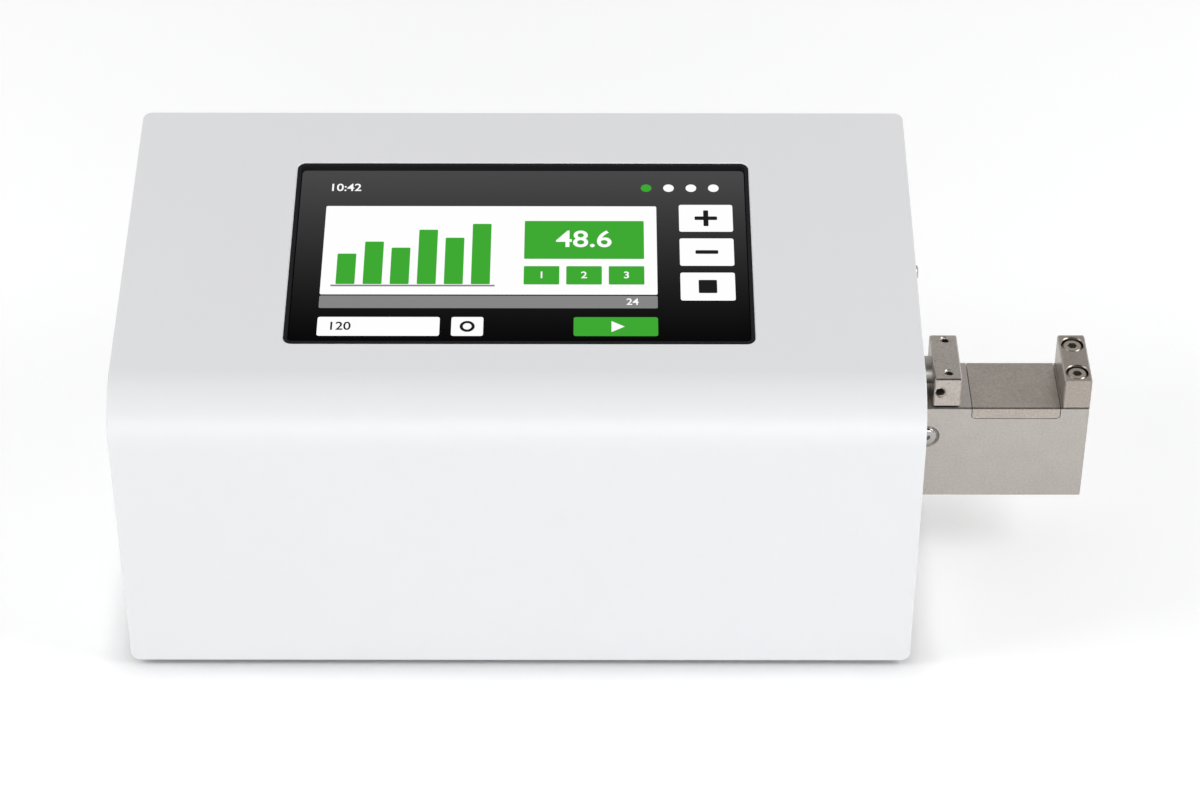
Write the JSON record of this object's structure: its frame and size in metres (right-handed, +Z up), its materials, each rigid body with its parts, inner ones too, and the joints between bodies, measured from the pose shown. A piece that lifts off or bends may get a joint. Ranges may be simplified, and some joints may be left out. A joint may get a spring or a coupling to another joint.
{
  "type": "tablet hardness tester",
  "caption": "Bench tester that crushes a tablet between a motor-driven jaw and a fixed jaw on a side anvil block; sloped housing with a touch display on top.",
  "frame": {"origin": "on the bench, under the middle of the whole instrument's bounding box (housing and anvil block)", "axes": "+X to the right, towards the jaws, along the ram; +Y away from the operator, towards the rear panel; +Z up"},
  "size_m": [0.3416, 0.145, 0.1387],
  "materials": {
    "front_top_cover": "satin light grey powder coat",
    "left_side_panel": "satin light grey powder coat",
    "right_side_panel": "satin light grey powder coat",
    "cover_cleats": "zinc plated",
    "rear_panel": "satin light grey powder coat",
    "base_plate": "mill finish",
    "rubber_feet": "matt black",
    "side_screw": "bright steel",
    "rear_screws": "bright steel",
    "display_nuts": "bright steel",
    "frame_screws": "bright steel",
    "load_cell_screw": "bright steel",
    "bearing_nut": "bright steel",
    "inlet_screws": "bright steel",
    "display_bezel": "matt black",
    "touch_glass": "smooth, dark behind",
    "lcd_module": "bare sheet",
    "display_bracket": "zinc plated",
    "processor_board": "green circuit board",
    "anvil_block": "fine blasted, slightly warm grey",
    "fixed_jaw": "fine blasted, slightly warm grey",
    "moving_jaw": "fine blasted, slightly warm grey",
    "tablet_platform": "fine blasted, slightly warm grey",
    "jaw_screws": "bright steel",
    "block_screws": "bright steel",
    "jaw_set_screw": "dark steel",
    "ram": "ground and polished",
    "load_cell": "clear anodised",
    "carriage": "machined",
    "drive_bed": "machined",
    "ram_guide_plate": "machined",
    "left_end_plate": "machined",
    "bearing_plate": "machined",
    "motor_bracket": "machined",
    "lead_nut": "machined",
    "ram_bush": "machined bronze",
    "guide_block": "ground",
    "guide_rail": "ground",
    "wiper_ring": "matt black",
    "screw_bearings": "bright",
    "drive_motor": "satin black",
    "limit_switches": "black",
    "lead_screw": "bright",
    "screw_hub": "turned",
    "motor_hub": "turned",
    "coupling_spider": "red elastomer",
    "motor_shaft": "ground",
    "main_board": "green circuit board",
    "card_guides": "black",
    "power_supply": "bare case",
    "network_socket": "bright shell",
    "usb_socket": "bright shell",
    "mains_inlet": "black",
    "power_switch_housing": "black",
    "power_rocker": "black"
  },
  "bodies": {
    "housing": {"front_top_cover": "front_top_cover", "left_side_panel": "left_side_panel", "right_side_panel": "right_side_panel", "cover_cleats": "cover_cleats", "rear_panel": "rear_panel", "base_plate": "base_plate", "rubber_feet": "rubber_feet", "side_screw": "side_screw", "rear_screws": "rear_screws", "display_nuts": "display_nuts", "frame_screws": "frame_screws", "inlet_screws": "inlet_screws", "display_bezel": "display_bezel", "touch_glass": "touch_glass", "lcd_module": "lcd_module", "display_bracket": "display_bracket", "processor_board": "processor_board", "anvil_block": "anvil_block", "fixed_jaw": "fixed_jaw", "tablet_platform": "tablet_platform", "jaw_screws": "jaw_screws", "block_screws": "block_screws", "drive_bed": "drive_bed", "ram_guide_plate": "ram_guide_plate", "left_end_plate": "left_end_plate", "bearing_plate": "bearing_plate", "motor_bracket": "motor_bracket", "ram_bush": "ram_bush", "guide_rail": "guide_rail", "wiper_ring": "wiper_ring", "screw_bearings": "screw_bearings", "drive_motor": "drive_motor", "limit_switches": "limit_switches", "main_board": "main_board", "card_guides": "card_guides", "power_supply": "power_supply", "network_socket": "network_socket", "usb_socket": "usb_socket", "mains_inlet": "mains_inlet", "power_switch_housing": "power_switch_housing"},
    "jaw": {"moving_jaw": "moving_jaw", "jaw_set_screw": "jaw_set_screw", "ram": "ram", "load_cell": "load_cell", "load_cell_screw": "load_cell_screw", "carriage": "carriage", "lead_nut": "lead_nut", "guide_block": "guide_block"},
    "drive_screw": {"lead_screw": "lead_screw", "bearing_nut": "bearing_nut", "screw_hub": "screw_hub", "coupling_spider": "coupling_spider", "motor_hub": "motor_hub", "motor_shaft": "motor_shaft"},
    "rocker": {"power_rocker": "power_rocker"}
  },
  "joints": [
    {"name": "jaw_slide", "type": "slide", "parent": "housing", "child": "jaw", "axis": [1, 0, 0], "range_m": [0, 0.036]},
    {"name": "screw_spin", "type": "hinge", "parent": "housing", "child": "drive_screw", "pos_m": [0, 0.00475, 0.049], "axis": [1, 0, 0], "range_deg": [-6481, 1]},
    {"name": "rocker_tilt", "type": "hinge", "parent": "housing", "child": "rocker", "pos_m": [-0.13225, 0.0648, 0.084], "axis": [1, 0, 0], "range_deg": [0, 20]}
  ],
  "couplings": [
    {"joint": "screw_spin", "follows": "jaw_slide", "rad_per_m": -3141.6}
  ]
}
